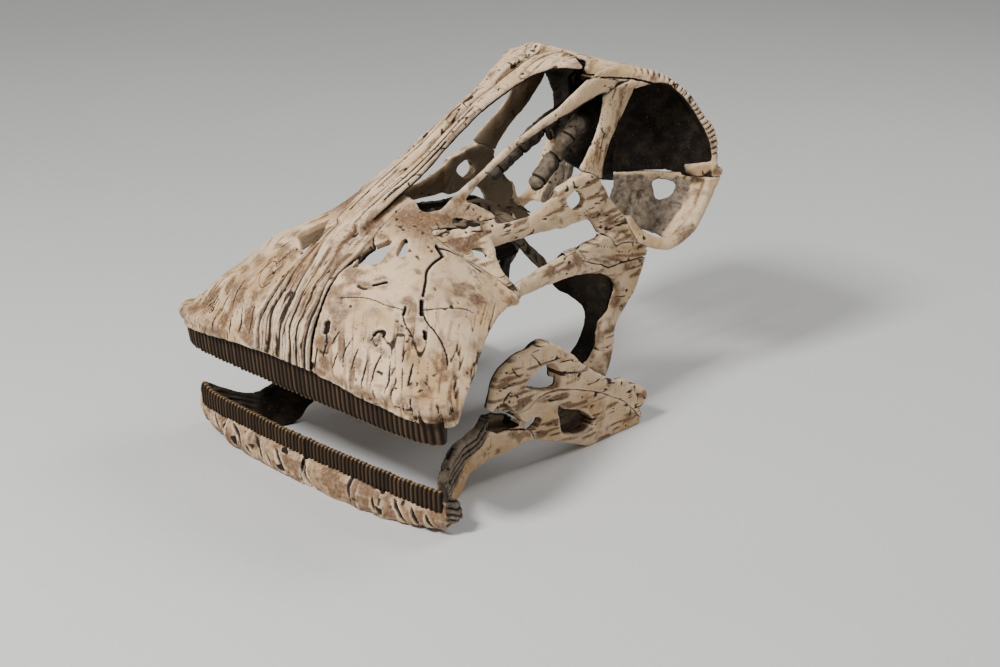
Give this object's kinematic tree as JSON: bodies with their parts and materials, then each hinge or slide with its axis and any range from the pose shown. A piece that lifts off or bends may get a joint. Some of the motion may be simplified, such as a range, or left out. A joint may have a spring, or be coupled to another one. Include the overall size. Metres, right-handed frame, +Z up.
{
  "type": "dinosaur skull fossil",
  "caption": "Life-size skull and lower jaws of the sauropod Nigersaurus, jaws open, with wide straight tooth batteries, resting on its lower jaw.",
  "frame": {"origin": "the middle of the skull's outline on the surface it rests on: centred left to right and front to back, at the underside of the lower jaw", "axes": "+Z up, -Y the way the muzzle points, +X the animal's left side; the midline plane of the skull is X = 0"},
  "size_m": [0.2738, 0.3764, 0.2757],
  "materials": {
    "bone": "matt, warm cream to tan fossil bone with brown staining",
    "inner": "matt, darker olive brown fossil bone of the inner surfaces"
  },
  "bodies": {
    "root": {"premaxilla_left": "bone", "premaxilla_right": "bone", "maxilla_left": "bone", "maxilla_right": "bone", "nasal_left": "bone", "nasal_right": "bone", "frontal_left": "bone", "frontal_right": "bone", "lacrimal_left": "bone", "lacrimal_right": "bone", "jugal_left": "bone", "jugal_right": "bone", "quadratojugal_left": "bone", "quadratojugal_right": "bone", "squamosal_left": "bone", "squamosal_right": "bone", "postorbital_left": "bone", "postorbital_right": "bone", "quadrate_left": "inner", "quadrate_right": "inner", "palate_left": "inner", "palate_right": "inner", "dentary_left": "bone", "dentary_right": "bone", "surangular_left": "bone", "surangular_right": "bone", "angular_left": "bone", "angular_right": "bone", "braincase": "inner"}
  },
  "joints": []
}
